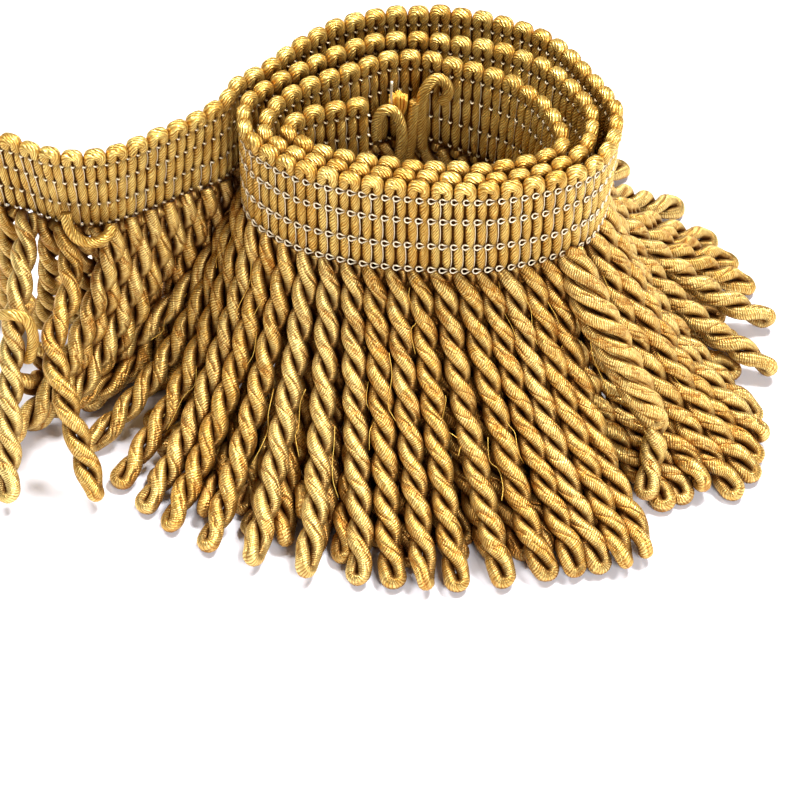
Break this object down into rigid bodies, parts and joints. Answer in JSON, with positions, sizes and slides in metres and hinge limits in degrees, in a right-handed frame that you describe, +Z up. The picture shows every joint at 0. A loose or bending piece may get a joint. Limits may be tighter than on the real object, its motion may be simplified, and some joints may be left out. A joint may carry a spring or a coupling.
{
  "type": "cord fringe trim",
  "caption": "Woven gold heading with a looped top edge and a skirt of twisted bullion cords, wound in a standing coil with a free tail, for edging cushions, lampshades and curtains.",
  "frame": {"origin": "the middle of the box on the floor plane that the trim stands on", "axes": "+Z up from the floor, +X along the longest side with the free tail towards -X, +Y away from the side where the cords fan out in front"},
  "size_m": [0.2181, 0.1802, 0.0881],
  "materials": {
    "heading_thread": "silky gimp, darker in its grooves",
    "cord_thread": "satin twisted cord"
  },
  "bodies": {
    "root": {"heading": "heading_thread", "fringe_inner_1": "cord_thread", "fringe_inner_2": "cord_thread", "fringe_inner_3": "cord_thread", "fringe_inner_4": "cord_thread", "fringe_inner_5": "cord_thread", "fringe_inner_6": "cord_thread", "fringe_middle_1": "cord_thread", "fringe_middle_2": "cord_thread", "fringe_middle_3": "cord_thread", "fringe_middle_4": "cord_thread", "fringe_middle_5": "cord_thread", "fringe_middle_6": "cord_thread", "fringe_outer_1": "cord_thread", "fringe_outer_2": "cord_thread", "fringe_outer_3": "cord_thread", "fringe_outer_4": "cord_thread", "fringe_outer_5": "cord_thread", "fringe_tail_1": "cord_thread", "fringe_end_1": "cord_thread"}
  },
  "joints": []
}
